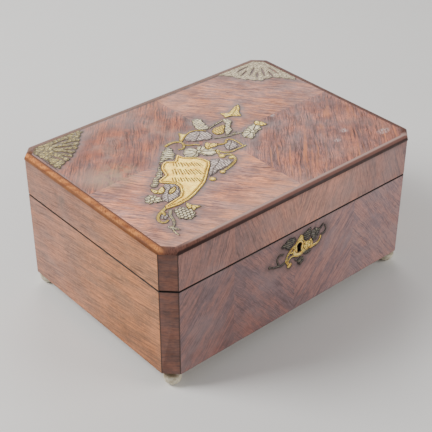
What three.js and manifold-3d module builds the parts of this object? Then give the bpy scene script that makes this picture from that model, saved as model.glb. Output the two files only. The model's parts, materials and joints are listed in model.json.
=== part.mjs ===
import * as THREE from 'three';
import Module from 'manifold-3d';
import { mergeVertices } from 'three/addons/utils/BufferGeometryUtils.js';

const wasm = await Module();
wasm.setup();

// Overall size, in millimetres
const WIDTH = 280;
const DEPTH = 202.3;
const CORNER_CUT = 11.5;
const CASE_HEIGHT = 83.7;
const LID_HEIGHT = 38.3;
const EDGE_OVERHANG = 0.45;

// Boards
const WALL = 9.5;
const BOTTOM_THICKNESS = 6;
const LID_THICKNESS = 8;
const EASED_ARRIS = 0.5;
const SEAM_GAP = 0.7;
const POST_MARGIN = 0.4;

// Turned ball feet
const FOOT_RADIUS = 7.8;
const FOOT_HEIGHT = 15.2;
const FOOT_INSET = 10.9;
const FOOT_PAD_RADIUS = 2.4;
const FOOT_SIDES = 18;
const FOOT_RINGS = 7;

// Rounded solid edge round the top of the lid
const EDGE_WIDTH = 5.8;
const EDGE_DROP = 3.6;
const EDGE_PROUD = 0.3;
const EDGE_STEPS = 5;

// Metal plates on the lid and round the keyhole
const PLATE_PROUD = 0.42;
const PLATE_GAP = 0.3;
const STROKE_DEPTH = 0.2;
const STROKE_WIDTH = 1.1;
const STROKE_LENGTH = 6.2;
const STROKE_LEAN = THREE.MathUtils.degToRad(-18);
const LOBE_DEPTH = 0.9;
const LEAF_NOTCH = 0.72;
const LOBE_STEPS = 3;
const SMOOTH_STEPS = 6;
const KNOB_SIDES = 9;

// Hinges, set into the back edges
const HINGE_PLACE = 0.29;
const HINGE_LENGTH = 40;
const LEAF_WIDTH = 6;
const LEAF_THICKNESS = 1.4;
const KNUCKLE_RADIUS = 2.3;
const KNUCKLE_SHARE = 0.34;
const PIN_RADIUS = 0.9;
const TURNING_GAP = 0.3;
const BACK_BEVEL = THREE.MathUtils.degToRad(52);
const ROUND_SIDES = 16;

// Lock in the front wall
const LOCK_WIDTH = 40;
const LOCK_DROP = 32;
const LOCK_DEPTH = 6;
const RIM_PLATE_WIDTH = 54;
const RIM_PLATE_THICKNESS = 1.5;
const SLOT_LENGTH = 7;
const SLOT_WIDTH = 2.4;
const SLOT_DEPTH = 3;
const KEYHOLE_DROP = 16.4;
const KEYHOLE_RADIUS = 2.3;
const KEYHOLE_SLOT = 3.2;
const KEYHOLE_LENGTH = 6.4;

// Levels and faces that follow from the sizes
const caseBottom = FOOT_HEIGHT;
const seam = caseBottom + CASE_HEIGHT;
const rim = seam - SEAM_GAP / 2;
const lidBottom = seam + SEAM_GAP / 2;
const lidTop = seam + LID_HEIGHT;
const endFace = WIDTH / 2 - EDGE_OVERHANG;
const frontFace = DEPTH / 2 - EDGE_OVERHANG;
const innerX = endFace - WALL;
const innerY = frontFace - WALL;
const hingeY = frontFace - KNUCKLE_RADIUS - TURNING_GAP / 2;
const postCut = 2 * (FOOT_INSET - WALL) + (FOOT_RADIUS + POST_MARGIN) * Math.SQRT2;

// The lid's ornament is drawn on a lid 280 by 202.3, the other on a case 83.7 high
const lidUnitX = WIDTH / 280;
const lidUnitY = DEPTH / 202.3;
const frontUnit = CASE_HEIGHT / 83.7;

// What a real length of one measures in each drawing
const lidDrawn = 1 / Math.sqrt(lidUnitX * lidUnitY);
const frontDrawn = 1 / frontUnit;

// Materials
const wood = (color) => new THREE.MeshStandardMaterial({ color, roughness: 0.45, metalness: 0 });
const metal = (color) => new THREE.MeshStandardMaterial({ color, roughness: 0.35, metalness: 0.9 });
const ROSEWOOD = 0x8a5f50;
const EDGE_WOOD = 0x6b3f2c;
const PLAIN_WOOD = 0x9a7350;
const BRASS = 0xc9a95c;
const GREY_METAL = 0x9c9a92;
const STEEL = 0x7d7b76;
const BONE = 0xd8d0ba;

// Turns a closed geometry into a solid that can be joined and cut
function solid(geometry) {
  const bare = geometry.clone();
  bare.deleteAttribute('normal');
  bare.deleteAttribute('uv');
  const welded = mergeVertices(bare, 1e-4);
  return new wasm.Manifold(new wasm.Mesh({
    numProp: 3,
    vertProperties: new Float32Array(welded.attributes.position.array),
    triVerts: new Uint32Array(welded.index.array),
  }));
}

// Joins a list of solids
function join(solids) {
  return solids.reduce((all, next) => all.add(next));
}

// A block between two corners
function block(x0, x1, y0, y1, z0, z1) {
  const geometry = new THREE.BoxGeometry(x1 - x0, y1 - y0, z1 - z0);
  geometry.translate((x0 + x1) / 2, (y0 + y1) / 2, (z0 + z1) / 2);
  return solid(geometry);
}

// A round bar along X
function barAlongX(x0, x1, y, z, radius) {
  const geometry = new THREE.CylinderGeometry(radius, radius, x1 - x0, ROUND_SIDES);
  geometry.rotateZ(Math.PI / 2);
  geometry.translate((x0 + x1) / 2, y, z);
  return solid(geometry);
}

// A rectangle with its corners cut off
function octagon(x, y, cut) {
  return [
    [x - cut, -y], [x, -y + cut], [x, y - cut], [x - cut, y],
    [-x + cut, y], [-x, y - cut], [-x, -y + cut], [-x + cut, -y],
  ];
}

// The box's outline seen from above, moved in from the widest place
function outline(inset) {
  const cut = CORNER_CUT - inset * (2 - Math.SQRT2);
  return octagon(WIDTH / 2 - inset, DEPTH / 2 - inset, cut);
}

// Skins a list of octagons, each with its own height, into a solid
function skinned(levels, ring) {
  const positions = [];
  const faces = [];
  const sides = levels[0][0].length;
  levels.forEach(([corners, z]) => corners.forEach(([x, y]) => positions.push(x, y, z)));
  const spans = ring ? levels.length : levels.length - 1;
  for (let level = 0; level < spans; level += 1) {
    const above = (level + 1) % levels.length;
    for (let side = 0; side < sides; side += 1) {
      const next = (side + 1) % sides;
      const a = level * sides + side;
      const b = level * sides + next;
      const c = above * sides + next;
      const d = above * sides + side;
      faces.push(a, b, c, a, c, d);
    }
  }
  for (let side = 1; side < sides - 1 && !ring; side += 1) {
    const top = (levels.length - 1) * sides;
    faces.push(0, side + 1, side, top, top + side, top + side + 1);
  }
  return new wasm.Manifold(new wasm.Mesh({
    numProp: 3,
    vertProperties: new Float32Array(positions),
    triVerts: new Uint32Array(faces),
  }));
}

// The hollow between the walls, with a solid post left in each corner
function hollow(z0, z1) {
  const corners = octagon(innerX, innerY, postCut);
  return skinned([[corners, z0], [corners, z1]]);
}

// A wedge that bevels the back edge, above or below the hinge line
function backWedge(direction) {
  const beyond = frontFace + WALL;
  const run = beyond - hingeY;
  const section = new THREE.Shape([
    new THREE.Vector2(hingeY, seam),
    new THREE.Vector2(beyond, seam + direction * run * Math.tan(BACK_BEVEL)),
    new THREE.Vector2(beyond, seam - direction * WALL),
    new THREE.Vector2(hingeY, seam - direction * WALL),
  ]);
  const geometry = new THREE.ExtrudeGeometry(section, { depth: WIDTH, bevelEnabled: false });
  geometry.translate(0, 0, -WIDTH / 2);
  geometry.rotateY(Math.PI / 2);
  geometry.rotateX(Math.PI / 2);
  return solid(geometry);
}

// Hinge leaves: the lower one carries the outer knuckles and the pin
const hingeCentres = [-HINGE_PLACE * WIDTH, HINGE_PLACE * WIDTH];
const halfHinge = HINGE_LENGTH / 2;
const halfKnuckle = (HINGE_LENGTH * KNUCKLE_SHARE) / 2;
const clearRadius = KNUCKLE_RADIUS + TURNING_GAP;

function knuckleClearance(centre, half) {
  return barAlongX(centre - half, centre + half, hingeY, seam, clearRadius);
}

function lowerLeaf(centre) {
  const plate = block(centre - halfHinge, centre + halfHinge, hingeY - LEAF_WIDTH, hingeY,
    rim - LEAF_THICKNESS, rim);
  const left = barAlongX(centre - halfHinge, centre - halfKnuckle, hingeY, seam, KNUCKLE_RADIUS);
  const right = barAlongX(centre + halfKnuckle, centre + halfHinge, hingeY, seam, KNUCKLE_RADIUS);
  const pin = barAlongX(centre - halfHinge, centre + halfHinge, hingeY, seam, PIN_RADIUS);
  return join([plate.subtract(knuckleClearance(centre, halfKnuckle)), left, right, pin]);
}

function upperLeaf(centre) {
  const half = halfKnuckle - TURNING_GAP;
  const plate = block(centre - halfHinge, centre + halfHinge, hingeY - LEAF_WIDTH, hingeY,
    lidBottom, lidBottom + LEAF_THICKNESS);
  const outer = join([-1, 1].map((side) => {
    const middle = centre + side * (halfHinge + half) / 2 + side * TURNING_GAP;
    return knuckleClearance(middle, (halfHinge - half) / 2 + TURNING_GAP);
  }));
  const knuckle = barAlongX(centre - half, centre + half, hingeY, seam, KNUCKLE_RADIUS);
  const bore = barAlongX(centre - halfHinge, centre + halfHinge, hingeY, seam,
    PIN_RADIUS + TURNING_GAP);
  return plate.subtract(outer).add(knuckle).subtract(bore);
}

function leafPocket(centre, z0, z1) {
  return block(centre - halfHinge, centre + halfHinge, hingeY - LEAF_WIDTH, hingeY, z0, z1);
}

// Keyhole: a round hole over a slot, cut along Y
function keyhole(y0, y1) {
  const z = rim - KEYHOLE_DROP;
  const round = new THREE.CylinderGeometry(KEYHOLE_RADIUS, KEYHOLE_RADIUS, y1 - y0, ROUND_SIDES);
  round.translate(0, (y0 + y1) / 2, z);
  const slot = block(-KEYHOLE_SLOT / 2, KEYHOLE_SLOT / 2, y0, y1, z - KEYHOLE_LENGTH, z);
  return solid(round).add(slot);
}

// Lock: a body in the front wall with a plate along the rim
const lockOuter = -frontFace + WALL - LOCK_DEPTH;
const lockInner = -frontFace + WALL;
const lockBlank = join([
  block(-LOCK_WIDTH / 2, LOCK_WIDTH / 2, lockOuter, lockInner, rim - LOCK_DROP, rim),
  block(-RIM_PLATE_WIDTH / 2, RIM_PLATE_WIDTH / 2, lockOuter, lockInner,
    rim - RIM_PLATE_THICKNESS, rim),
]);
const strikeBlank = block(-LOCK_WIDTH / 2, LOCK_WIDTH / 2, lockOuter, lockInner, lidBottom,
  lidBottom + RIM_PLATE_THICKNESS);

function boltSlots(z0, z1) {
  const middle = (lockOuter + lockInner) / 2;
  return join([-1, 1].map((side) => {
    const x = side * LOCK_WIDTH * 0.3;
    return block(x - SLOT_LENGTH / 2, x + SLOT_LENGTH / 2, middle - SLOT_WIDTH / 2,
      middle + SLOT_WIDTH / 2, z0, z1);
  }));
}

// Case: four walls round a hollow, open above and below
const caseOutside = skinned([
  [outline(EDGE_OVERHANG + EASED_ARRIS), caseBottom],
  [outline(EDGE_OVERHANG), caseBottom + EASED_ARRIS],
  [outline(EDGE_OVERHANG), rim - EASED_ARRIS],
  [outline(EDGE_OVERHANG + EASED_ARRIS), rim],
]);
const wallsCut = join([
  hollow(caseBottom - WALL, seam + WALL),
  backWedge(-1),
  lockBlank,
  keyhole(-frontFace - WALL, lockOuter + EASED_ARRIS),
  ...hingeCentres.map((x) => leafPocket(x, rim - LEAF_THICKNESS, rim + WALL)),
  ...hingeCentres.map((x) => knuckleClearance(x, halfHinge + TURNING_GAP)),
]);
const caseWalls = caseOutside.subtract(wallsCut);
const caseBottomBoard = hollow(caseBottom, caseBottom + BOTTOM_THICKNESS);
const lock = lockBlank
  .subtract(keyhole(lockOuter - WALL, lockOuter + SLOT_DEPTH))
  .subtract(boltSlots(rim - SLOT_DEPTH, rim + WALL));

// Lid: a shallow upturned tray with a rebate for its edge
const edgeInside = EDGE_WIDTH + EDGE_OVERHANG;
const lidOutside = skinned([
  [outline(EDGE_OVERHANG + EASED_ARRIS), lidBottom],
  [outline(EDGE_OVERHANG), lidBottom + EASED_ARRIS],
  [outline(EDGE_OVERHANG), lidTop - EDGE_DROP],
  [outline(edgeInside), lidTop - EDGE_DROP],
  [outline(edgeInside), lidTop],
]);
const lidCut = join([
  hollow(seam - WALL, lidTop - LID_THICKNESS),
  backWedge(1),
  strikeBlank,
  boltSlots(lidBottom, lidBottom + RIM_PLATE_THICKNESS + SLOT_DEPTH),
  ...hingeCentres.map((x) => leafPocket(x, lidBottom - WALL, lidBottom + LEAF_THICKNESS)),
  ...hingeCentres.map((x) => knuckleClearance(x, halfHinge + TURNING_GAP)),
]);
const lid = lidOutside.subtract(lidCut);
const strikePlate = strikeBlank.subtract(boltSlots(lidBottom - WALL, lidBottom + WALL));

// Rounded edge: a quarter round outside, a small step above the lid inside
const edgeArc = Array.from({ length: EDGE_STEPS + 1 }, (_, step) => {
  const angle = (step / EDGE_STEPS) * (Math.PI / 2);
  const reach = EDGE_WIDTH - EDGE_PROUD;
  return [outline(reach * (1 - Math.cos(angle))),
    lidTop - EDGE_DROP * 0.8 + (EDGE_DROP * 0.8 + EDGE_PROUD) * Math.sin(angle)];
});
const lidEdge = skinned([
  [outline(edgeInside), lidTop - EDGE_DROP],
  [outline(0), lidTop - EDGE_DROP],
  ...edgeArc,
  [outline(edgeInside), lidTop],
], true);

// Ball foot, flat where it meets the box and where it stands
function foot(x, y) {
  const start = Math.asin(FOOT_PAD_RADIUS / FOOT_RADIUS);
  const profile = [new THREE.Vector2(0, 0)];
  const low = FOOT_RADIUS * Math.cos(start);
  const stretch = FOOT_HEIGHT / (2 * low);
  for (let ring = 0; ring <= FOOT_RINGS; ring += 1) {
    const angle = start + (ring / FOOT_RINGS) * (Math.PI - 2 * start);
    profile.push(new THREE.Vector2(FOOT_RADIUS * Math.sin(angle),
      (low - FOOT_RADIUS * Math.cos(angle)) * stretch));
  }
  profile.push(new THREE.Vector2(0, FOOT_HEIGHT));
  const geometry = new THREE.LatheGeometry(profile, FOOT_SIDES);
  geometry.rotateX(Math.PI / 2);
  geometry.translate(x, y, 0);
  return solid(geometry);
}

// Moves an outline outward all round
function grown(places, grow) {
  const area = THREE.ShapeUtils.area(places.map(([x, y]) => new THREE.Vector2(x, y)));
  const way = Math.sign(area) * grow;
  return places.map(([x, y], place) => {
    const [ax, ay] = places[(place + places.length - 1) % places.length];
    const [bx, by] = places[(place + 1) % places.length];
    const run = Math.hypot(bx - ax, by - ay);
    return [x + (way * (by - ay)) / run, y - (way * (bx - ax)) / run];
  });
}

// A flat plate of the given outline, standing proud of its ground
function plate(places, grow = 0) {
  const shape = new THREE.Shape(grown(places, grow).map(([x, y]) => new THREE.Vector2(x, y)));
  return solid(new THREE.ExtrudeGeometry(shape, { depth: PLATE_PROUD, bevelEnabled: false }));
}

// Leaf from its root to its tip, toothed or smooth
function leaf(x0, y0, x1, y1, width, teeth = 0) {
  const length = Math.hypot(x1 - x0, y1 - y0);
  const along = [(x1 - x0) / length, (y1 - y0) / length];
  const steps = teeth ? 2 * teeth : SMOOTH_STEPS;
  const sides = [1, -1].map((side) => Array.from({ length: steps + 1 }, (_, step) => {
    const t = step / steps;
    const notch = teeth && step % 2 === 0 && step > 0 && step < steps ? LEAF_NOTCH : 1;
    const half = (width / 2) * notch * Math.sin(Math.PI * (0.06 + 0.92 * t)) ** 0.8;
    return [x0 + along[0] * t * length - side * along[1] * half,
      y0 + along[1] * t * length + side * along[0] * half];
  }));
  return [...sides[1], ...sides[0].reverse()];
}

// Round knob
function knob(x, y, radius) {
  return Array.from({ length: KNOB_SIDES }, (_, step) => {
    const angle = (step / KNOB_SIDES) * 2 * Math.PI;
    return [x + radius * Math.cos(angle), y + radius * Math.sin(angle)];
  });
}

// Closed curve through a few places, smooth or with lobes cut into it
function patch(places, lobes = 0, depth = LOBE_DEPTH * lidDrawn) {
  const curve = new THREE.CatmullRomCurve3(places.map(([x, y]) => new THREE.Vector3(x, y, 0)), true);
  const steps = lobes ? lobes * LOBE_STEPS : places.length * 2;
  const points = Array.from({ length: steps }, (_, step) => {
    const at = lobes ? curve.getPointAt(step / steps) : curve.getPoint(step / steps);
    return [at.x, at.y];
  });
  const lobed = grown(points, -depth);
  return points.map(([x, y], step) => {
    const inward = lobes ? 1 - Math.abs(Math.sin((step / LOBE_STEPS) * Math.PI)) : 0;
    return [THREE.MathUtils.lerp(x, lobed[step][0], inward),
      THREE.MathUtils.lerp(y, lobed[step][1], inward)];
  });
}

// Curved band through a few places, tapering from one width to another
function scroll(places, startWidth, endWidth) {
  const curve = new THREE.CatmullRomCurve3(places.map(([x, y]) => new THREE.Vector3(x, y, 0)));
  const steps = places.length * 2;
  const sides = [1, -1].map((side) => Array.from({ length: steps + 1 }, (_, step) => {
    const t = step / steps;
    const at = curve.getPoint(t);
    const along = curve.getTangent(t);
    const half = THREE.MathUtils.lerp(startWidth, endWidth, t) / 2;
    return [at.x - side * along.y * half, at.y + side * along.x * half];
  }));
  return [...sides[1], ...sides[0].reverse()];
}

// Places the pieces one after another; each is cut back from those before it
function layOut(pieces, toPlace, drawn) {
  const placed = [];
  return pieces.map(([name, color, parts, slots]) => {
    let shape = join(parts.map((part) => plate(part)));
    placed.forEach((earlier) => {
      shape = shape.subtract(earlier);
    });
    if (slots) shape = shape.subtract(slots);
    placed.push(join(parts.map((part) => plate(part, PLATE_GAP * drawn))));
    return { name, color, shape: toPlace(shape) };
  });
}

// Rows of shallow parallel strokes across the shield
function shieldStrokes() {
  const middle = [-53, -20.5];
  const nextStroke = [3.5, -3];
  const nextRow = [-7.6, -8.9];
  const longRow = 1.4;
  const fan = 0.08;
  const strokes = [];
  for (let row = -1; row <= 1; row += 1) {
    for (let place = -2; place <= 2; place += 1) {
      const length = (row === 0 ? STROKE_LENGTH * longRow : STROKE_LENGTH) * lidDrawn;
      const geometry = new THREE.BoxGeometry(STROKE_WIDTH * lidDrawn, length, STROKE_DEPTH * 2);
      geometry.rotateZ(STROKE_LEAN + fan * place);
      geometry.translate(middle[0] + nextStroke[0] * place + nextRow[0] * row,
        middle[1] + nextStroke[1] * place + nextRow[1] * row, PLATE_PROUD);
      strokes.push(solid(geometry));
    }
  }
  return join(strokes);
}

// Leaf-shaped openings that fan out from one place
function fanSlots(x, y, fromAngle, toAngle, reach, count) {
  return join(Array.from({ length: count }, (_, slot) => {
    const angle = THREE.MathUtils.degToRad(THREE.MathUtils.lerp(fromAngle, toAngle, slot / (count - 1)));
    const start = reach * (slot % 2 ? 0.62 : 0.4);
    const end = reach * (slot % 2 ? 0.92 : 0.84);
    return plate(leaf(x + Math.cos(angle) * start, y + Math.sin(angle) * start,
      x + Math.cos(angle) * end, y + Math.sin(angle) * end, 2));
  }));
}

// Ornament on the lid, laid out along a diagonal
const lidPieces = [
  ['cartouche_shield', BRASS, [
    patch([
      [-56, 4.6], [-49.5, 0.2], [-41.8, 7.1], [-40, 0], [-31, -9], [-27.8, -19.6],
      [-38, -29.9], [-51, -41.2], [-61.5, -46.6], [-77, -52.4], [-98, -52],
      [-98, -47.2], [-80.7, -44.2], [-73.8, -36.7], [-71.3, -29], [-79.5, -19.5],
      [-78.5, -15], [-69.7, -12.3], [-67, -4.3], [-62, 2],
    ]),
  ], shieldStrokes()],
  ['leaf_star_brass', BRASS, [
    patch([
      [32.8, 37.1], [39.2, 32.5], [44.5, 35], [56.2, 39.1], [52.3, 32], [47, 27.2], [44, 21],
      [38.2, 26.1], [31, 28.2], [32.6, 31.5],
    ]),
  ]],
  ['leaf_patch_brass', BRASS, [
    patch([[7.9, 19.3], [18.1, 20], [22.7, 19.3], [16.2, 12.1], [11.8, 7.8], [4.7, 11.2]], 6, 0.6),
  ]],
  ['leaf_top_brass', BRASS, [
    scroll([
      [-41, 23.7], [-35, 24.9], [-29.7, 23.9], [-26.2, 20.8], [-26.7, 15.9], [-31.5, 11.2],
      [-35.5, 12.5],
    ], 2.6, 2),
    scroll([[-27, 16.1], [-23.9, 12.1], [-19.2, 9.8], [-16.7, 6.1]], 2, 1.4),
    patch([
      [-17.3, 34.5], [-16.2, 30.3], [-12.9, 28.3], [-19.7, 23.7], [-25.4, 20.4], [-25.7, 23.1],
      [-21.4, 27.9],
    ]),
    scroll([[-17, 26.5], [-7.7, 29], [-1.1, 25.9], [3, 21]], 1.5, 1),
  ]],
  ['scroll_lower_brass', BRASS, [
    scroll([[-4.7, -3.2], [2, -5.5], [5.6, -2.2], [9.1, -2.7], [11.1, -7.6], [10.4, -19.5]], 2.4, 1.6),
    scroll([[-11.5, -9.2], [-9.5, -15.4], [-5.6, -18.7], [0.5, -19.4], [13, -19.6]], 2.6, 1.4),
    scroll([[-11.5, -9.2], [-13.8, -14.7], [-14.4, -19.7]], 2, 2.4),
    knob(-14.4, -19.7, 3),
    scroll([
      [-13.5, -19.7], [-7.4, -21.9], [-7.3, -26.3], [-10, -31.9], [-20.7, -36.7], [-30.9, -38.3],
    ], 2.2, 2.2),
    knob(-10, -26.5, 2.4), knob(-30.6, -38.9, 2.5),
  ]],
  ['leaf_flower_brass', BRASS, [
    patch([
      [-14.5, 2.4], [-9.6, 6.4], [-8.7, 3.4], [-2.7, -2.6], [-8.4, -4.5], [-12.2, -3.3],
      [-16.6, -3.9],
    ]),
  ]],
  ['leaf_left_brass', BRASS, [
    patch([[-91.3, -20.5], [-88.5, -26], [-82, -23.5], [-83.1, -28.5], [-88, -32.2], [-93.2, -27.5]]),
  ]],
  ['leaf_scoop_brass', BRASS, [leaf(-84.5, -36.5, -74, -31, 4.4)]],
  ['scroll_tail_brass', BRASS, [
    scroll([
      [-95.5, -49], [-101.4, -50.7], [-109.9, -54.4], [-114.3, -60], [-112.8, -65], [-108, -64.2],
    ], 3, 1.8),
    leaf(-104, -50, -106, -58, 3.6, 2),
  ]],
  ['leaf_grapes_brass', BRASS, [
    patch([
      [-82.2, -54], [-81, -59.7], [-76.4, -66], [-81.1, -65.6], [-84.8, -67.2], [-84.2, -63.4],
      [-86.6, -62.1],
    ]),
  ]],
  ['leaf_tip_brass', BRASS, [patch([[43.2, 3], [47.7, 6.6], [51.8, -4.8], [45.8, -4.1], [44.2, -0.7]])]],
  ['bead_brass', BRASS, [knob(-43.9, -41.8, 3)]],
  ['scroll_beaded_grey', GREY_METAL, [
    patch([
      [-90.5, -19.6], [-84, -13], [-75.6, -7], [-64, 3.6], [-55, 12.8], [-44.4, 21], [-38.5, 22], [-39.9, 13.5],
      [-43.5, 6.8], [-48.3, 2.4], [-55.2, 5.9], [-62.8, 2.3], [-70.7, -11.5], [-78, -14.5], [-83, -21],
    ], 17, 1.3),
  ]],
  ['leaf_middle_grey', GREY_METAL, [
    patch([
      [-21.5, 21], [-13.7, 27], [-7.7, 28], [-1.6, 24.4], [3, 17], [1.4, 11], [-3.6, 7.4],
      [-9, 10.2], [-16, 13.4],
    ], 12),
  ]],
  ['leaf_upper_grey', GREY_METAL, [
    patch([[7.2, 44.5], [12.6, 41.5], [10.4, 30.6], [7.9, 22.4], [-1, 26.4], [1.4, 37.9]], 9),
    scroll([[7.4, 22.8], [16.2, 24.7], [29, 26.3]], 1.7, 1.4),
    patch([
      [26.6, 26.6], [31.4, 24.6], [31, 19], [24.6, 13.4], [20.6, 6.7], [11, 3.6], [16.4, 12.1],
      [24, 20.5],
    ], 9, 0.6),
  ]],
  ['flower_middle_grey', GREY_METAL, [
    patch([
      [-25.5, -1], [-22.5, 4.6], [-17.9, 5], [-12, -4.4], [-11, -11], [-17.8, -13.8],
      [-23.4, -11.8], [-26, -6],
    ], 9),
    patch([[-34.6, 7], [-30.4, 9.6], [-23.3, 5], [-25.5, -4], [-33.2, -7.2], [-39, 0]], 8),
  ]],
  ['scroll_right_grey', GREY_METAL, [
    scroll([[0, 7], [10.4, 2.4], [18.9, 0.5], [25.7, -1.5]], 1.8, 1.3),
    leaf(15, 1.2, 22, 3.4, 3, 2),
  ]],
  ['leaf_right_grey', GREY_METAL, [
    patch([[-3.5, -11], [1.3, -5.2], [8.4, -5.4], [9, -12], [6, -17], [-3.8, -16.6]], 9, 0.7),
  ]],
  ['flower_right_grey', GREY_METAL, [
    patch([
      [20.8, -5.4], [28.7, 0.4], [34.5, 2.4], [42.4, 3], [45.2, -2], [42.3, -8], [35.2, -9.6],
      [29.4, -13.4], [24.6, -16],
    ], 10, 1.3),
  ]],
  ['leaf_lower_grey', GREY_METAL, [
    patch([
      [-28.6, -18.6], [-22.5, -19.4], [-14.5, -27], [-12.5, -32], [-18.3, -35], [-31.5, -35.4],
      [-43, -37.6], [-41, -32.8], [-33.4, -25.6],
    ], 11),
  ]],
  ['leaf_left_grey', GREY_METAL, [
    patch([
      [-80, -22.6], [-75, -23.6], [-71.8, -27.5], [-73, -34], [-78.7, -41.8], [-85.5, -46.6],
      [-93, -45], [-94, -38], [-90, -33.5], [-84, -29.5],
    ], 11),
  ]],
  ['flower_left_grey', GREY_METAL, [
    patch([
      [-105.2, -30.2], [-101.3, -27], [-96.6, -27], [-93, -35], [-94.8, -41], [-101.1, -39],
      [-106.5, -36],
    ], 8, 1.3),
  ]],
  ['leaf_curl_grey', GREY_METAL, [
    patch([[-106.6, -53.4], [-102.6, -53.6], [-103.1, -58], [-108, -62.4], [-111.5, -60.5]], 6, 0.7),
  ]],
  ['grapes_grey', GREY_METAL, [
    patch([
      [-97, -56], [-92, -55.6], [-88, -57], [-85.6, -61.3], [-84.4, -66.6], [-87.1, -72.6],
      [-91.7, -75], [-96.5, -73.6], [-101, -67], [-99.4, -62.6],
    ], 11, 1.3),
  ]],
  ['tail_grey', GREY_METAL, [
    scroll([
      [-98, -54.4], [-102.8, -59.8], [-104.9, -65.9], [-108, -71.2], [-112.6, -75], [-114.4, -79.5],
      [-114.5, -85],
    ], 3, 0.9),
    leaf(-114, -71, -109.6, -80, 3.6, 2),
  ]],
  ['corner_ornament_left', GREY_METAL, [
    scroll([[-130.2, 95], [-129, 74], [-128.3, 53]], 2, 2),
    patch([
      [-130.6, 95], [-105, 98], [-84, 98], [-78, 92], [-84, 86.5], [-92, 77], [-98, 71],
      [-106, 65], [-112, 60.6], [-120, 57.5], [-129.6, 53.4], [-130.4, 72],
    ], 24, 1.4),
  ], fanSlots(-127, 91, -74, -6, 40, 7)],
  ['corner_ornament_right', GREY_METAL, [
    patch([
      [80, 97], [105, 98], [137, 98], [137, 70], [131, 39], [124, 48], [116, 57.5], [104, 59.5],
      [97, 67.5], [91.5, 75], [88, 84],
    ], 24, 1.6),
  ], fanSlots(131, 92, 188, 262, 40, 7)],
];

// Ornament round the keyhole, measured from the keyhole's middle
const keyholePieces = [
  ['escutcheon_plate', BRASS, [
    patch([
      [-3.6, 7.4], [-0.3, 11], [1.6, 12.4], [3.9, 10.3], [4.9, 5.6], [8.9, 2.6], [14, 3],
      [15.9, -1.7], [16.2, -6.9], [11.5, -6.3], [4.6, -7.4], [2, -9.2], [-5.1, -7.4], [-7.4, -4.3],
      [-6.6, 1.5],
    ]),
    scroll([[13.5, -4.6], [20.1, -5.1], [24, -2.6], [25.2, 1.4]], 3, 1.6),
    scroll([[-4, 4.4], [-9.2, 1.9], [-13.6, -3], [-14.6, -7], [-12.9, -10.2], [-10.8, -13]], 2.4, 2.6),
    scroll([[-5.5, -5.6], [-9, -5.4], [-11.5, -7], [-13.6, -8.6]], 2.2, 1.6),
    scroll([[-5.4, -1.4], [-8.6, -1.6], [-10.4, -0.6]], 2, 1.8),
    knob(-10.8, -13.2, 2.7),
  ]],
  ['escutcheon_leaf_left', GREY_METAL, [
    patch([
      [-21.4, 9.6], [-15.8, 12.8], [-12.4, 14.5], [-8.4, 14], [-3.6, 11], [-5.9, 7], [-8.6, 5],
      [-12, 2.6], [-16, 6.3],
    ], 9, 0.6),
  ]],
  ['escutcheon_leaf_hatched', GREY_METAL, [
    patch([[3.5, 11.4], [6.5, 12.6], [12.5, 15.1], [13.4, 10.8], [12.3, 6.2], [9.6, 3.6], [5, 6]]),
  ]],
  ['escutcheon_leaf_right', GREY_METAL, [
    patch([
      [12.6, 9], [16.7, 12.4], [20.1, 11.4], [23.8, 7.9], [23.3, 4.3], [19.8, 0], [17, -0.4],
      [14.3, 2.3],
    ], 9, 0.8),
    scroll([[22, 8], [25.1, 10], [27.6, 12.4]], 2, 1),
  ]],
  ['escutcheon_curl_right', GREY_METAL, [
    scroll([[29.4, 10], [30.9, 6], [29.7, 3], [25.6, 2.2]], 1, 1.3),
  ]],
  ['escutcheon_scroll_left', GREY_METAL, [
    scroll([
      [-18.3, 1.4], [-22.1, 2.9], [-25.1, 0], [-24.1, -5.5], [-21.5, -8.8], [-15.8, -7.2],
    ], 1, 1.3),
    scroll([[-22.4, -8.1], [-27.6, -7.2], [-33.2, -4.8]], 1.2, 1),
    knob(-33.7, -4.6, 1.2),
  ]],
  ['escutcheon_flower', GREY_METAL, [
    patch([
      [-5.4, -9.6], [-1.2, -10.6], [3.4, -10], [6.4, -13.6], [3, -18], [-0.6, -16.8], [-2.4, -13.2],
    ], 7, 0.7),
  ]],
  ['escutcheon_leaf_lower', GREY_METAL, [leaf(5.4, -8.4, 14, -8.2, 3.4)]],
];

const insideEdge = skinned([
  [outline(edgeInside + PLATE_GAP), lidTop - PLATE_PROUD],
  [outline(edgeInside + PLATE_GAP), lidTop + PLATE_PROUD * 2],
]);

function onLid(shape) {
  return shape.scale([lidUnitX, lidUnitY, 1]).translate([0, 0, lidTop]).intersect(insideEdge);
}

function onFront(shape) {
  const keyholeMiddle = rim - KEYHOLE_DROP - KEYHOLE_RADIUS;
  return shape.scale([frontUnit, frontUnit, 1]).rotate([90, 0, 0])
    .translate([0, -frontFace, keyholeMiddle])
    .subtract(keyhole(-frontFace - WALL, -frontFace + WALL));
}

// Everything, named
const group = new THREE.Group();

function addMesh(name, shape, material) {
  const mesh = shape.getMesh();
  const geometry = new THREE.BufferGeometry();
  geometry.setAttribute('position', new THREE.BufferAttribute(new Float32Array(mesh.vertProperties), 3));
  geometry.setIndex(new THREE.BufferAttribute(new Uint32Array(mesh.triVerts), 1));
  geometry.computeVertexNormals();
  const item = new THREE.Mesh(geometry, material);
  item.name = name;
  group.add(item);
}

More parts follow.
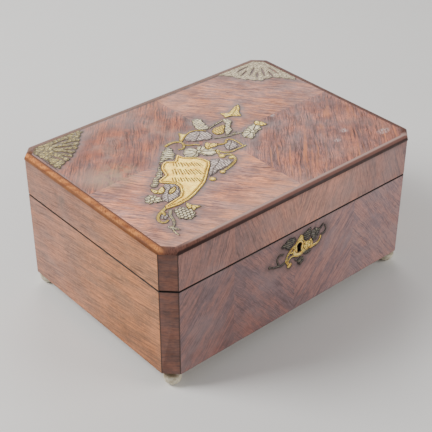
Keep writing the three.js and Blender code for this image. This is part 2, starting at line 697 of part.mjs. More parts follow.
addMesh('case', caseWalls, wood(ROSEWOOD));
addMesh('case_bottom', caseBottomBoard, wood(PLAIN_WOOD));
['front', 'back'].forEach((row) => ['left', 'right'].forEach((place) => {
  const x = (endFace - FOOT_INSET) * (place === 'left' ? -1 : 1);
  const y = (frontFace - FOOT_INSET) * (row === 'front' ? -1 : 1);
  addMesh(`foot_${row}_${place}`, foot(x, y), wood(BONE));
}));
addMesh('lock', lock, metal(BRASS));
addMesh('lid', lid, wood(ROSEWOOD));
addMesh('lid_edge_moulding', lidEdge, wood(EDGE_WOOD));
addMesh('strike_plate', strikePlate, metal(BRASS));
hingeCentres.forEach((x) => {
  const side = x < 0 ? 'left' : 'right';
  addMesh(`hinge_${side}_lower`, lowerLeaf(x), metal(STEEL));
  addMesh(`hinge_${side}_upper`, upperLeaf(x), metal(STEEL));
});
const ornament = [
  ...layOut(keyholePieces, onFront, frontDrawn),
  ...layOut(lidPieces, onLid, lidDrawn),
];
ornament.forEach(({ name, color, shape }) => addMesh(name, shape, metal(color)));

export default group;
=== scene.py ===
import json
import math

import bmesh
import bpy
import numpy as np
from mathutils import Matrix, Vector, geometry, kdtree


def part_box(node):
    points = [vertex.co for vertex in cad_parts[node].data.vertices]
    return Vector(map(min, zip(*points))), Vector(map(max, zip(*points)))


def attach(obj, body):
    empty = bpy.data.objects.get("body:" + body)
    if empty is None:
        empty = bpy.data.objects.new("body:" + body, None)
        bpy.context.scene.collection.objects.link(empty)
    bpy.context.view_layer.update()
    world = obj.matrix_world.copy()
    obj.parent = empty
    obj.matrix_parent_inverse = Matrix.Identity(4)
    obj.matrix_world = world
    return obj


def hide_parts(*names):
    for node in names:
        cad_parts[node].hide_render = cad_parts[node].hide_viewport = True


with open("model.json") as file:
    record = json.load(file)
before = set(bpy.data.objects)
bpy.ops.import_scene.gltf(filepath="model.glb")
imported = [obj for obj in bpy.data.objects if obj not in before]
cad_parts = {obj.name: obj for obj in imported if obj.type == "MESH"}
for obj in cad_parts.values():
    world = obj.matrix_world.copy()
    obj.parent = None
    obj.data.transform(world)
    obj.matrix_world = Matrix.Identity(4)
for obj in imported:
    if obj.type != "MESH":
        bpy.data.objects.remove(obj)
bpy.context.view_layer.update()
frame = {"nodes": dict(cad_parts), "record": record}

# Places and sizes of the CAD solids in metres; those that end in _Z are in millimetres,
# as the materials and patterns below count in millimetres
MM = 0.001
nodes = frame["nodes"]
low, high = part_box("case")
lid_low, lid_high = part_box("lid")
HALF_X = high[0]
HALF_Y = high[1]
CASE_LOW = low[2]
SEAM = (high[2] + lid_low[2]) / 2
LID_TOP = lid_high[2]
edge_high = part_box("lid_edge_moulding")[1]
WALL = 9.5 * MM
CORNER_CUT = 11.5 * MM
KEYHOLE = 80.15 * MM
CASE_LOW_Z, SEAM_Z, LID_TOP_Z, KEYHOLE_Z = (z / MM for z in (CASE_LOW, SEAM, LID_TOP, KEYHOLE))

# Points of a mesh that lie closer than this are joined
WELD = 0.002 * MM

# How far one step in x or y goes towards a cut corner
DIAGONAL = 0.7071


def srgb(red, green, blue):
    """A colour as seen on screen, 0 to 255, turned into the renderer's linear values."""
    def linear(c):
        c /= 255
        return c / 12.92 if c <= 0.04045 else ((c + 0.055) / 1.055) ** 2.4
    return (linear(red), linear(green), linear(blue), 1)


# Short way of writing node materials
class Val:
    """A number in a material, which can be added, multiplied and so on."""

    def __init__(self, look, socket):
        self.look, self.socket = look, socket

    def _do(self, operation, *others):
        node = self.look.new("ShaderNodeMath")
        node.operation = operation
        for place, item in enumerate((self, *others)):
            self.look.feed(node.inputs[place], item)
        return Val(self.look, node.outputs[0])

    def __add__(self, other):
        return self._do("ADD", other)

    def __sub__(self, other):
        return self._do("SUBTRACT", other)

    def __mul__(self, other):
        return self._do("MULTIPLY", other)

    def __rmul__(self, other):
        return self._do("MULTIPLY", other)

    def __truediv__(self, other):
        return self._do("DIVIDE", other)

    def abs(self):
        return self._do("ABSOLUTE")

    def floor(self):
        return self._do("FLOOR")

    def over(self, limit):
        return self._do("GREATER_THAN", limit)

    def least(self, other):
        return self._do("MINIMUM", other)

    def most(self, other):
        return self._do("MAXIMUM", other)

    def ramp(self, start, end, to_start=0.0, to_end=1.0):
        """Eases from one result to another while the number goes from start to end."""
        node = self.look.new("ShaderNodeMapRange")
        node.interpolation_type = "SMOOTHSTEP"
        self.look.feed(node.inputs[0], self)
        for place, number in enumerate((start, end, to_start, to_end), 1):
            node.inputs[place].default_value = number
        return Val(self.look, node.outputs[0])


class Look:
    """A node material with a principled shader. Its level makes the whole colour darker."""

    level = 1.0

    def __init__(self, name, color, metallic=0.0, roughness=0.45):
        self.material = bpy.data.materials.new(name)
        self.material.use_nodes = True
        self.tree = self.material.node_tree
        self.tree.nodes.clear()
        self.shader = self.new("ShaderNodeBsdfPrincipled")
        out = self.new("ShaderNodeOutputMaterial")
        self.tree.links.new(self.shader.outputs[0], out.inputs[0])
        self.shader.inputs["Metallic"].default_value = metallic
        self.shader.inputs["Roughness"].default_value = roughness
        self.shader.inputs["Base Color"].default_value = color
        place = self.new("ShaderNodeTexCoord")
        split = self.new("ShaderNodeSeparateXYZ")
        self.tree.links.new(place.outputs["Object"], split.inputs[0])
        self.x, self.y, self.z = (Val(self, split.outputs[i]) * (1 / MM) for i in range(3))

    def new(self, kind):
        return self.tree.nodes.new(kind)

    def feed(self, socket, item):
        if isinstance(item, Val):
            self.tree.links.new(item.socket, socket)
        else:
            socket.default_value = item

    def noise(self, x, y, z=0.0, detail=3.0, rough=0.5):
        """Cloudy values about 0.5 at a place given by three numbers."""
        join = self.new("ShaderNodeCombineXYZ")
        for place, item in enumerate((x, y, z)):
            self.feed(join.inputs[place], item)
        node = self.new("ShaderNodeTexNoise")
        node.inputs["Scale"].default_value = 1
        node.inputs["Detail"].default_value = detail
        node.inputs["Roughness"].default_value = rough
        self.tree.links.new(join.outputs[0], node.inputs["Vector"])
        return Val(self, node.outputs[0])

    def mix(self, amount, first, second, blend="MIX"):
        node = self.new("ShaderNodeMix")
        node.data_type = "RGBA"
        node.blend_type = blend
        self.feed(node.inputs[0], amount)
        self.feed(node.inputs[6], first)
        self.feed(node.inputs[7], second)
        return Val(self, node.outputs[2])

    def choose(self, amount, first, second):
        """Goes from the first number to the second."""
        return (second - first) * amount + first

    def color(self, value):
        self.feed(self.shader.inputs["Base Color"], shade(self, value, self.level))

    def rough(self, value):
        self.feed(self.shader.inputs["Roughness"], value)

    def shine(self, level):
        self.shader.inputs["Specular IOR Level"].default_value = level

    def bump(self, height, strength, distance):
        """Unevenness, with its distance in millimetres."""
        node = self.new("ShaderNodeBump")
        node.inputs["Strength"].default_value = strength
        node.inputs["Distance"].default_value = distance * MM
        self.feed(node.inputs["Height"], height)
        self.tree.links.new(node.outputs[0], self.shader.inputs["Normal"])


def attribute(look, name):
    """A number that the mesh carries at each point."""
    node = look.new("ShaderNodeAttribute")
    node.attribute_name = name
    return Val(look, node.outputs["Fac"])


def spot(look, u, v, cu, cv, ru, rv):
    """One in the middle of an oval, fading to nothing at its edge."""
    du, dv = (u - cu) / ru, (v - cv) / rv
    return (du * du + dv * dv).ramp(1.0, 0.0)


def spots(look, u, v, ovals):
    """The strongest of several ovals, each with its middle, half sizes and strength."""
    made = [spot(look, u, v, *oval) * strength for *oval, strength in ovals]
    strongest = made[0]
    for other in made[1:]:
        strongest = strongest.most(other)
    return strongest


def shade(look, tone, light):
    """Makes a colour lighter or darker by a number."""
    grey = look.new("ShaderNodeCombineColor")
    for i in range(3):
        look.feed(grey.inputs[i], light)
    return look.mix(1.0, tone, Val(look, grey.outputs[0]), "MULTIPLY")


# Layers of grain: length along it and width across it in millimetres, an addition to the
# seed, and the noise's detail and roughness
LAYERS = {
    "drift": (62, 28, 0.0, 2.0, 0.5),
    "waver": (9, 8, 2.6, 2.0, 0.5),
    "bands": (90, 6.5, 3.1, 2.0, 0.6),
    "lines": (22, 1.15, 7.7, 1.0, 0.5),
    "hair": (9, 0.7, 5.2, 1.0, 0.5),
    "pores": (4.0, 0.5, 1.3, 2.0, 0.6),
    "patch": (30, 19, 9.9, 4.0, 0.6),
}
DRIFT_REACH = 9
WAVER_REACH = 3.2
MOTTLE_SIZE = 3.4
WOOD_LEVEL = 0.76
WOOD_SHINE = 0.32
SEAM_DIRT_AND_SHADE = (1.15, 0.65)


def grain(look, along, across, seed, cool, warm, deep, contrast=1.0, fine=1.0, wavy=1.0):
    """Figured wood: two hues in long wavering bands, fine dark and light lines, pores and
    cloudy mottling. Gives its colour and a height for the bump."""
    def layer(name, over, finer=1.0):
        length, width, extra, detail, rough = LAYERS[name]
        return look.noise(along / length, over / (width / finer), seed + extra, detail, rough)

    look.level = WOOD_LEVEL
    drift = (layer("drift", across) - 0.5) * (DRIFT_REACH * wavy)
    waver = (layer("waver", across) - 0.5) * (WAVER_REACH * wavy)
    over = across + drift + waver
    bands = layer("bands", over)
    lines = layer("lines", over, fine)
    hair = layer("hair", over, fine)
    pores = layer("pores", over)
    patch = layer("patch", over)
    x, y, z = (place / MOTTLE_SIZE for place in (look.x, look.y, look.z))
    mottle = look.noise(x, y, z + seed, 3.0, 0.65)
    hue = (bands - 0.5) * 1.8 + (patch - 0.5) * 2.0 + (lines - 0.5) * 1.3 + (mottle - 0.5) + 0.5
    tone = look.mix(hue.ramp(0.05, 0.95), cool, warm)
    tone = look.mix(lines.ramp(0.46, 0.28, 0.0, 0.6 * contrast), tone, deep)
    tone = look.mix(pores.ramp(0.56, 0.7, 0.0, 0.5 * contrast), tone, deep)
    light = ((lines - 0.5) * 1.1 + (hair - 0.5) * 1.4 + (bands - 0.5) * 0.4) * contrast
    tone = shade(look, tone, light + (mottle - 0.5) * 0.6 + (patch - 0.5) * 0.5 + 1.0)
    height = lines * 0.5 + hair * 0.3 - pores.ramp(0.55, 0.75) * 0.7 + mottle * 0.5
    return tone, height


def polish(look, height, low=0.3, high=0.5, seed=0.0):
    """Worn polish: an uneven sheen with small dents."""
    wear = look.noise(look.x / 26, look.y / 26, look.z / 26 + seed, 4.0, 0.6)
    look.rough(wear.ramp(0.3, 0.7, low, high))
    look.shine(WOOD_SHINE)
    dents = look.noise(look.x / 9, look.y / 9, look.z / 9 + seed, 2.0)
    look.bump(height * 0.45 + dents * 1.4, 0.35, 0.12)


def seam_dirt_and_shade(look, strength):
    """Painted shade and dirt on both arrises where the lid meets the case."""
    return (look.z - SEAM_Z).abs().ramp(*SEAM_DIRT_AND_SHADE) * strength


def grime_and_shadow(look, tone, colour, film):
    """Old dirt and painted shadow round the ornament, as far as each point of the wood carries
    them: a grey film some way out, and black in the angle beside the metal, from dirt and painted
    shadow."""
    amount = attribute(look, "grime_and_shadow")
    rough = look.noise(look.x / 0.9, look.y / 0.9, look.z / 0.9, 2.0)
    cloud = look.noise(look.x / 4, look.y / 4, look.z / 4, 3.0)
    tone = look.mix(attribute(look, "film") * cloud.ramp(0.3, 0.6, 0.45, 1.0), tone, film)
    return look.mix((amount * (rough * 0.9 + 0.6)).least(0.96), tone, colour)


# Veneers. A ramp says where a change starts and ends, as a place in millimetres or a value of
# a noise, and then how strong it is there. An oval says its middle, half sizes and strength.
LEAF_WIDTH = 69
LEAF_START = -3
LEAVES_MEET = 5
SMOKE = [(40, 117, 13, 11, 1.0), (66, 108, 9, 6, 0.7)]
RED_PATCHES = [(-94, 66, 22, 20, 1.0), (-58, 70, 16, 12, 1.0), (-104, -30, 26, 40, 0.6)]
DUST = [(-101, 14, 27, 24, 1.0)]
HAZE_AND_SHEEN = [(-118, 22, 20, 24, 0.5)]
SCUFFS = [(120, -80, 9, 5, 1.0), (95, -57, 5, 4, 1.0), (78, -65, 4, 3, 1.0), (66, 3, 4, 2.5, 1.0)]
BORDER_LINE_X = -131.3
EDGE_SHINE = 0.25


def veneer_front():
    """Four leaves of slanted grain that meet in a zigzag; steeper and pinker on the lid."""
    look = Look("veneer_front", color=srgb(134, 108, 104))
    on_lid = look.z.over(SEAM_Z)
    leaf = ((look.x - LEAF_START) / LEAF_WIDTH).floor()
    lean = (leaf * 0.5).floor() * 4 - leaf * 2 + 1
    slant = look.choose(on_lid, 0.62, 0.3)
    flat = look.choose(on_lid, 0.78, 0.95)
    along = look.x * slant * lean + look.z * flat
    across = look.x * flat - look.z * slant * lean
    pink = on_lid * (look.x - 15).abs().ramp(100, 20, 0.35, 1.0)
    low_left = look.z.ramp(CASE_LOW_Z + 50, CASE_LOW_Z) * look.x.ramp(60, -120)
    cool = look.mix(pink, srgb(146, 120, 122), srgb(182, 138, 124))
    warm = look.mix(pink, srgb(168, 124, 116), srgb(200, 140, 120))
    cool = look.mix(low_left * 0.7, cool, srgb(136, 104, 100))
    warm = look.mix(low_left * 0.7, warm, srgb(160, 100, 88))
    seed = leaf * 3.7 + on_lid * 11
    tone, height = grain(look, along, across, seed, cool, warm, srgb(102, 74, 74),
                         contrast=0.6, fine=1.5)
    lid_darker = on_lid * look.x.ramp(20, 105, 0.0, 0.3)
    tone = shade(look, tone, look.x.ramp(-90, 90, 0.87, 1.25) - lid_darker)
    haze = look.noise(look.x / 45, look.y, look.z / 30 + 4.0, 3.0)
    tone = look.mix(haze.ramp(0.46, 0.7, 0.0, 0.3), tone, srgb(178, 152, 150))
    # Painted shadow under the lid's moulding.
    shadow_under_edge = look.z.ramp(LID_TOP_Z - 8, LID_TOP_Z - 3, 0.0, 0.4)
    tone = look.mix(shadow_under_edge, tone, srgb(104, 72, 62))
    # Painted shade and dirt along the seam.
    tone = look.mix(seam_dirt_and_shade(look, 0.75), tone, srgb(40, 26, 22))
    # Dirt and painted shadow round the plates on the front.
    look.color(grime_and_shadow(look, tone, colour=srgb(34, 22, 18), film=srgb(120, 98, 96)))
    polish(look, height)
    return look.material


def veneer_end():
    """Grain along the end, dipping a little towards the back; tan in front, pinker behind."""
    look = Look("veneer_end", color=srgb(172, 136, 112))
    on_lid = look.z.over(SEAM_Z)
    level, tilt = 0.99, 0.13
    along = look.y * level - look.z * tilt
    across = look.z * level + look.y * tilt
    back = (look.y + on_lid * 30).ramp(-40, 75)
    low_near = look.z.ramp(CASE_LOW_Z + 45, CASE_LOW_Z + 6) * look.y.ramp(30, -80)
    cool = look.mix(back, srgb(180, 128, 92), srgb(172, 128, 110))
    warm = look.mix(back, srgb(208, 136, 88), srgb(198, 136, 108))
    cool = look.mix(low_near * 0.6, cool, srgb(144, 92, 60))
    warm = look.mix(low_near * 0.6, warm, srgb(168, 104, 62))
    tone, height = grain(look, along, across, on_lid * 8.3 + 2.0, cool, warm,
                         srgb(120, 76, 54), contrast=0.85, fine=1.7, wavy=0.45)
    tone = shade(look, tone, on_lid * back * -0.1 + 1.0)
    pale = look.noise(look.y / 30, look.z / 16, 5.0, 4.0)
    tone = look.mix(pale.ramp(0.5, 0.7, 0.0, 0.35) * back, tone, srgb(194, 152, 134))
    cloud = look.noise(look.x, look.y / 5, look.z / 5, 3.0)
    on_left = look.x.ramp(1, -1)
    smoke = spots(look, look.y, look.z, SMOKE) * cloud.ramp(0.35, 0.65) * on_left
    tone = look.mix(smoke * 0.6, tone, srgb(118, 100, 90))
    # Painted shade and dirt along the seam, strongest towards the front.
    tone = look.mix(seam_dirt_and_shade(look, look.y.ramp(60, -80, 0.6, 1.0)), tone, srgb(34, 22, 18))
    # Painted shadow under the lid's moulding.
    shadow_under_edge = look.z.ramp(LID_TOP_Z - 9, LID_TOP_Z - 3, 0.0, 0.45)
    tone = look.mix(shadow_under_edge, tone, srgb(134, 88, 60))
    look.color(tone)
    polish(look, height, seed=3.0)
    return look.material


def veneer_top():
    """Four leaves matched in diamonds about the middle of the lid."""
    look = Look("veneer_top", color=srgb(186, 150, 138))
    px, py = look.x - LEAVES_MEET, look.y - LEAVES_MEET
    right, back = px.over(0), py.over(0)
    dark_leaf = (right - back).abs()
    lean = look.choose(dark_leaf, 0.60, 0.66)
    rise = look.choose(dark_leaf, 0.80, 0.75)
    along = px.abs() * lean - py.abs() * rise
    across = px.abs() * rise + py.abs() * lean
    seed = right * 5.3 + back * 9.1
    dark_cool = look.mix(right, srgb(152, 102, 90), srgb(154, 110, 104))
    dark_warm = look.mix(right, srgb(204, 112, 76), srgb(196, 118, 92))
    cool = look.mix(dark_leaf, srgb(196, 140, 126), dark_cool)
    warm = look.mix(dark_leaf, srgb(232, 146, 104), dark_warm)
    tone, height = grain(look, along, across, seed, cool, warm, srgb(106, 56, 44),
                         contrast=1.3, fine=1.15)
    # Painted sheen: the near left of the top is lighter; towards the back left of the middle it is
    # darker.
    sheen_near_left = look.x.ramp(40, -60) * look.y.ramp(40, -50)
    far_left = look.x.ramp(25, -10) * look.y.ramp(0, 25)
    tone = shade(look, tone, sheen_near_left * 0.3 - far_left * 0.14 + 1.0)
    drift = (look.noise(along / 60, across / 30, seed + 2.0) - 0.5) * 9
    orange = look.noise(along / 70, (across + drift) / 2.4, seed + 21.0, 2.0)
    fiery = look.noise(look.x / 40, look.y / 40, 7.0, 2.0).ramp(0.42, 0.62, 0.25, 1.0)
    tone = look.mix(orange.ramp(0.56, 0.68, 0.0, 0.8) * fiery, tone, srgb(234, 140, 88))
    cloud = look.noise(look.x / 7, look.y / 7, 3.0, 3.0)
    red = spots(look, look.x, look.y, RED_PATCHES) * cloud.ramp(0.35, 0.6)
    tone = look.mix(red * 0.6, tone, srgb(214, 116, 78))
    blotch = look.noise(look.x / 24, look.y / 24, 6.5, 4.0, 0.6)
    tone = look.mix(blotch.ramp(0.52, 0.36, 0.0, 0.5), tone, srgb(128, 86, 82))
    # Pale haze, partly milky old polish and partly painted sheen, strongest on the left and the
    # near left.
    haze = look.noise(look.x / 36, look.y / 36, 4.0, 5.0, 0.65).ramp(0.5, 0.68, 0.0, 0.42)
    haze = haze.most(spots(look, look.x, look.y, HAZE_AND_SHEEN))
    haze = haze.most(look.y.ramp(60, 98, 0.0, 0.3))
    haze = haze.most(look.y.ramp(-62, -96, 0.0, 0.4) * look.x.ramp(70, -20))
    milky_and_sheen = look.x.ramp(-40, 60, 1.0, 0.45)
    tone = look.mix(haze * milky_and_sheen, tone, srgb(210, 162, 138))
    dust = spots(look, look.x, look.y, DUST)
    cloud = look.noise(look.x / 6, look.y / 6, 2.0, 4.0, 0.65)
    tone = look.mix(dust * cloud.ramp(0.36, 0.6) * 0.6, tone, srgb(194, 156, 116))
    speck = look.noise(look.x / 1.6, look.y / 1.6, 8.0, 2.0).ramp(0.4, 0.6)
    scuffs = spots(look, look.x, look.y, SCUFFS) * speck
    tone = look.mix(scuffs * 0.8, tone, srgb(232, 206, 200))
    # Dirt and painted shadow round the plates on the lid.
    tone = grime_and_shadow(look, tone, colour=srgb(44, 30, 24), film=srgb(152, 126, 121))
    on_line = (look.x - BORDER_LINE_X).abs().ramp(0.75, 0.3)
    border = on_line * look.y.ramp(50, 54) * look.y.ramp(94, 90)
    look.color(look.mix(border * 0.85, tone, srgb(48, 36, 28)))
    polish(look, height, low=0.34, high=0.55, seed=6.0)
    return look.material


def veneer_chamfer():
    """Dark cross-grained slips on the cut corners, with a dark line down each edge."""
    look = Look("veneer_chamfer", color=srgb(107, 78, 67))
    side = look.x.abs() - look.y.abs() - (HALF_X - HALF_Y) / MM
    tone, height = grain(look, side, look.z, 5.0, srgb(126, 92, 84), srgb(140, 92, 76),
                         srgb(84, 54, 46), contrast=0.45)
    cloud = look.noise(side / 20, look.z / 14, 3.0, 2.0)
    tone = shade(look, tone, cloud.ramp(0.3, 0.7, 0.85, 1.15))
    edge = side.abs().ramp(9.2, 10.8, 0.0, 0.85)
    tone = look.mix(edge, tone, srgb(66, 48, 42))
    # Painted shade and dirt along the seam.
    tone = look.mix(seam_dirt_and_shade(look, 1.0), tone, srgb(26, 18, 16))
    look.color(tone)
    polish(look, height, seed=9.0)
    return look.material


def veneer_back():
    """Plain straight-grained veneer on the side away from the keyhole."""
    look = Look("veneer_back", color=srgb(128, 98, 90))
    tone, height = grain(look, look.x, look.z, 4.4, srgb(138, 108, 100), srgb(158, 112, 94),
                         srgb(96, 62, 54), contrast=0.6)
    look.color(tone)
    polish(look, height, low=0.38, high=0.6, seed=12.0)
    return look.material


def rim_wood():
    """Edges of the case and lid where they meet: plain wood, black at the outside with dirt and
    painted shade in the gap.
    """
    look = Look("rim_wood", color=srgb(150, 112, 84))
    tone, height = grain(look, look.x + look.y, look.x - look.y, 6.0, srgb(146, 106, 80),
                         srgb(160, 112, 80), srgb(104, 68, 48), contrast=0.7)
    side_x = look.x.abs() * -1 + HALF_X / MM
    side_y = look.y.abs() * -1 + HALF_Y / MM
    corner_place = (HALF_X + HALF_Y - CORNER_CUT) / MM * DIAGONAL
    corner = (look.x.abs() + look.y.abs()) * -DIAGONAL + corner_place
    edge = side_x.least(side_y).least(corner)
    # Black at the outside: dirt and painted shade in the gap between lid and case.
    look.color(look.mix(edge.ramp(1.9, 0.7), tone, srgb(30, 21, 17)))
    polish(look, height, low=0.5, high=0.7, seed=14.0)
    return look.material


def plain_wood(name, cool, warm, deep, low, high):
    """Unpolished wood for the inside and the underside, and nearly black wood inside the keyhole
    as painted shade.
    """
    look = Look(name, color=warm)
    along, across = look.x + look.z * 0.2, look.y + look.z
    tone, height = grain(look, along, across, 3.0, cool, warm, deep, contrast=0.8)
    look.color(tone)
    polish(look, height, low, high, seed=15.0)
    return look.material


def edge_wood():
    """Solid edge: dark red-brown, its front's rounded outer lip in painted shade and a painted
    highlight along the front's inner side; orange along the left side, partly rubbed through and
    partly painted light, with a painted highlight on its crest, painted shade to either side and a
    painted shadow line where it meets the lid."""
    look = Look("edge_wood", color=srgb(84, 56, 46))
    look.level = WOOD_LEVEL
    along = look.x + look.y
    wear = look.noise(along / 13, look.z / 6, 2.0, 4.0, 0.6)
    fine = look.noise(along / 9, (look.x - look.y) / 1.1, look.z / 1.1, 3.0, 0.6)
    half_x, half_y = edge_high[0] / MM, edge_high[1] / MM
    from_end = look.x.abs() * -1 + half_x
    from_front = look.y.abs() * -1 + half_y
    inward = from_end.least(from_front)
    # The left side: orange, partly rubbed through and partly painted light where the light falls
    # on it.
    left = look.x.ramp(-half_x + 5.5, -half_x + 9.5, 1.0, 0.0)
    left = left * look.y.ramp(-half_y + 4, -half_y + 15)
    front = look.y.ramp(-half_y + 9, -half_y + 5)
    tone = look.mix(fine.ramp(0.35, 0.65), srgb(96, 62, 54), srgb(130, 86, 72))
    tone = look.mix(front * look.x.ramp(-125, -60) * 0.65, tone, srgb(150, 106, 96))
    # Painted highlight: a pale line along the inner side of the front edge.
    pale = inward.ramp(2.8, 4.2) * front * look.x.ramp(-128, -100)
    tone = look.mix(pale * 0.8, tone, srgb(206, 170, 158))
    # Painted shade on the front's rounded outer lip.
    shaded_dark_lip = inward.ramp(1.5, 0.5) * front
    tone = look.mix(shaded_dark_lip * 0.9, tone, srgb(52, 32, 28))
    rubbed_and_lit = look.mix(wear.ramp(0.36, 0.6), srgb(164, 94, 50), srgb(240, 154, 84))
    rubbed_and_lit = look.mix(fine.ramp(0.5, 0.66, 0.0, 0.65), rubbed_and_lit, srgb(122, 66, 38))
    # Painted shade on both sides of the left side's crest, which keeps a painted highlight.
    rubbed_and_lit = look.mix(inward.ramp(1.5, 0.5) * 0.8, rubbed_and_lit, srgb(116, 70, 42))
    rubbed_and_lit = look.mix(inward.ramp(3.6, 4.6) * 0.7, rubbed_and_lit, srgb(150, 92, 66))
    tone = look.mix(left, tone, rubbed_and_lit)
    # Painted shadow line where the left side meets the lid.
    tone = look.mix(inward.ramp(4.9, 5.4) * left * 0.8, tone, srgb(64, 42, 34))
    back = look.y.ramp(half_y - 10, half_y - 6)
    tone = look.mix(back * 0.6, tone, srgb(168, 134, 118))
    look.color(tone)
    look.rough(wear.ramp(0.3, 0.7, 0.42, 0.62) + left * 0.12)
    look.shine(EDGE_SHINE)
    look.bump(wear + fine * 0.6, 0.55, 0.3)
    return look.material


def bone():
    """Old bone: cream, turning darker brown near the top."""
    look = Look("bone", color=srgb(206, 196, 172))
    cloud = look.noise(look.x / 3, look.y / 3, look.z / 3, 4.0)
    streak = look.noise(look.x / 0.8, look.y / 0.8, look.z / 5, 2.0)
    brown = (look.z + (cloud - 0.5) * 5).ramp(7.0, 13.0)
    tone = look.mix(cloud.ramp(0.35, 0.7), srgb(214, 206, 184), srgb(190, 178, 150))
    tone = look.mix(streak.ramp(0.56, 0.7, 0.0, 0.4), tone, srgb(150, 132, 102))
    tone = look.mix(brown * 0.85, tone, srgb(104, 84, 58))
    look.color(tone)
    look.rough(cloud.ramp(0.3, 0.7, 0.3, 0.5))
    look.bump(cloud + streak * 0.4, 0.3, 0.15)
    return look.material


def engraved(name, light, tint, dirt, metallic, speck=None, spread=0.5, deep=0.95, shine=0.5):
    """Engraved metal: fine cut lines with old dirt in the low places, tarnish in clouds, and
    bright or dark specks where the surface is worn."""
    look = Look(name, light, metallic, roughness=0.4)
    relief = attribute(look, "relief")
    cloud = look.noise(look.x / 4, look.y / 4, look.z / 4, 4.0)
    fine = look.noise(look.x / 0.7, look.y / 0.7, look.z / 0.7, 3.0)
    worn = look.noise(look.x / 1.5 + 9, look.y / 1.5, look.z / 1.5, 2.0)
    tone = look.mix(cloud.ramp(0.35, 0.65), light, tint)
    if speck:
        tone = look.mix(worn.ramp(0.5, 0.62, 0.0, spread), tone, speck)
    tone = look.mix(worn.ramp(0.42, 0.3, 0.0, 0.5), tone, dirt)
    tone = look.mix(relief.ramp(0.85, 1.0, 0.0, 0.25), tone, light)
    cut = (relief + (fine - 0.5) * 0.25).ramp(0.75, 0.3)
    tone = look.mix(cut * deep, tone, dirt)
    look.color(tone)
    look.shine(shine)
    look.rough(cloud.ramp(0.3, 0.7, 0.25, 0.42))
    look.bump(relief * 1.6 + fine * 0.25, 0.55, 0.25)
    return look.material


def plain_metal(name, light, tint, dirt):
    """Lightly scratched metal of the lock and the hinges."""
    look = Look(name, light, metallic=0.9, roughness=0.4)
    cloud = look.noise(look.x / 6, look.y / 6, look.z / 6, 4.0)
    scratch = look.noise(look.x / 9, look.y / 0.5, look.z / 2, 3.0)
    tone = look.mix(cloud.ramp(0.35, 0.65), light, tint)
    tone = look.mix(scratch.ramp(0.58, 0.72, 0.0, 0.5), tone, dirt)
    look.color(tone)
    look.rough(cloud.ramp(0.3, 0.7, 0.28, 0.5))
    look.bump(scratch, 0.2, 0.05)
    return look.material


LOOKS = {
    "front": veneer_front(),
    "end": veneer_end(),
    "top": veneer_top(),
    "chamfer": veneer_chamfer(),
    "back": veneer_back(),
    "inside": plain_wood("inside_wood", srgb(150, 112, 84), srgb(164, 118, 82),
                         srgb(112, 76, 52), 0.45, 0.65),
    "under": plain_wood("under_wood", srgb(146, 120, 92), srgb(158, 126, 90),
                        srgb(112, 86, 60), 0.6, 0.8),
    "edge": edge_wood(),
    "bone": bone(),
    "brass": engraved("engraved_brass", srgb(255, 226, 112), srgb(255, 208, 88),
                      srgb(88, 60, 26), metallic=0.3),
    "shield": engraved("engraved_shield", srgb(255, 218, 98), srgb(255, 200, 74),
                       srgb(108, 74, 36), metallic=0.65, deep=0.85),
    "brass_front": engraved("engraved_keyhole_brass", srgb(255, 220, 104), srgb(250, 190, 70),
                            srgb(44, 30, 16), metallic=0.35, speck=srgb(255, 244, 190)),
    "grey": engraved("engraved_grey", srgb(208, 196, 160), srgb(180, 166, 144),
                     srgb(66, 54, 46), metallic=0.4, speck=srgb(250, 224, 140), spread=0.6),
    "grey_dark": engraved("engraved_tarnished", srgb(182, 164, 156), srgb(150, 132, 128),
                          srgb(74, 60, 56), metallic=0.4, speck=srgb(216, 200, 160), spread=0.4),
    "grey_front": engraved("engraved_dark", srgb(104, 98, 90), srgb(72, 66, 62),
                           srgb(26, 20, 18), metallic=0.5, speck=srgb(170, 156, 120), spread=0.4),
    "corner_left": engraved("engraved_olive", srgb(198, 180, 124), srgb(158, 142, 110),
                            srgb(80, 64, 44), metallic=0.35, speck=srgb(246, 216, 116),
                            spread=0.6, deep=0.85),
    "corner_right": engraved("engraved_pale", srgb(218, 202, 166), srgb(192, 176, 148),
                             srgb(132, 112, 92), metallic=0.35, speck=srgb(238, 220, 174),
                             spread=0.6, deep=0.65),
    "plain_brass": plain_metal("plain_brass", srgb(206, 172, 104), srgb(176, 142, 84),
                               srgb(104, 80, 48)),
    "steel": plain_metal("hinge_metal", srgb(182, 176, 164), srgb(152, 146, 134),
                         srgb(84, 76, 64)),
    "rim": rim_wood(),
    # Nearly black wood for painted shade inside the keyhole.
    "dark": plain_wood("keyhole_shade", srgb(34, 24, 20), srgb(38, 27, 22), srgb(22, 16, 14),
                       0.6, 0.8),
}


def copy_of(name):
    """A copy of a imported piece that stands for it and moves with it."""
    source = nodes[name]
    item = bpy.data.objects.new(name + "_look", source.data.copy())
    bpy.context.scene.collection.objects.link(item)
    item.data.materials.clear()
    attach(item, frame_body(name))
    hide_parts(name)
    return item


def frame_body(name):
    """The body that a piece moves with."""
    for body, members in frame["record"]["behaviour"]["bodies"].items():
        if name in members:
            return body
    return "root"


def slot_of(name):
    """The material slot that the record gives a piece."""
    for entry in frame["record"]["subparts"]:
        if entry["node"] == name:
            return entry["material_slot"]
    return None


# Eased edges, in millimetres, and the least angle that is eased
SHARP_ANGLE = math.radians(25)
WOOD_EASE = 0.35
BOARD_EASE = 0.2
FITTING_EASE = 0.12


def soften(item, width):
    """Eases the sharp edges of a piece."""
    bevel = item.modifiers.new("eased", "BEVEL")
    bevel.width = width * MM
    bevel.segments = 2
    bevel.limit_method = "ANGLE"
    bevel.angle_limit = SHARP_ANGLE
    bevel.harden_normals = False


